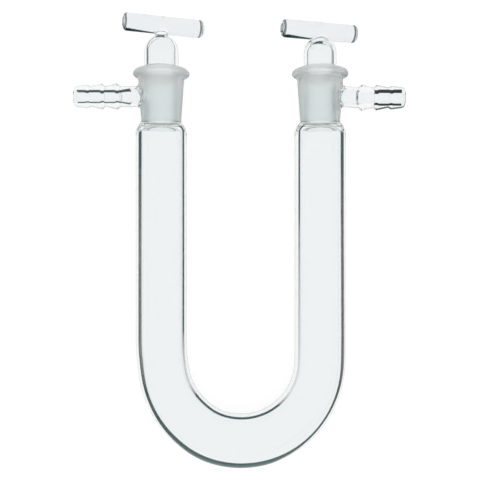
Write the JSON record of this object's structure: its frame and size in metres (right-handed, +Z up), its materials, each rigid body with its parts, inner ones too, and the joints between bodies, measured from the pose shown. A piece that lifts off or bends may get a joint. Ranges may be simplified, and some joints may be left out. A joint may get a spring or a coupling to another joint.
{
  "type": "drying tube",
  "caption": "U-shaped glass drying tube with ground sockets, barbed side arms for hoses and turning hollow stoppers with T-bar handles.",
  "frame": {"origin": "on the surface that the tube lies on, under the middle of its outline", "axes": "+Y along the limbs towards the sockets, +X across from the left limb to the right limb, +Z up off the surface"},
  "size_m": [0.1298, 0.177, 0.0221],
  "materials": {
    "tube_glass": "clear borosilicate glass, socket bores fine-ground to a frosted white",
    "stopper_glass": "clear borosilicate glass, plugs fine-ground to a frosted white"
  },
  "bodies": {
    "tube": {"u_tube": "tube_glass"},
    "left_stopper": {"left_stopper": "stopper_glass"},
    "right_stopper": {"right_stopper": "stopper_glass"}
  },
  "joints": [
    {"name": "left_stopper_turn", "type": "hinge", "parent": "tube", "child": "left_stopper", "pos_m": [-0.03075, 0.0675, 0.01105], "axis": [0, 1, 0], "continuous": true},
    {"name": "right_stopper_turn", "type": "hinge", "parent": "tube", "child": "right_stopper", "pos_m": [0.03175, 0.0675, 0.01105], "axis": [0, 1, 0], "continuous": true}
  ]
}
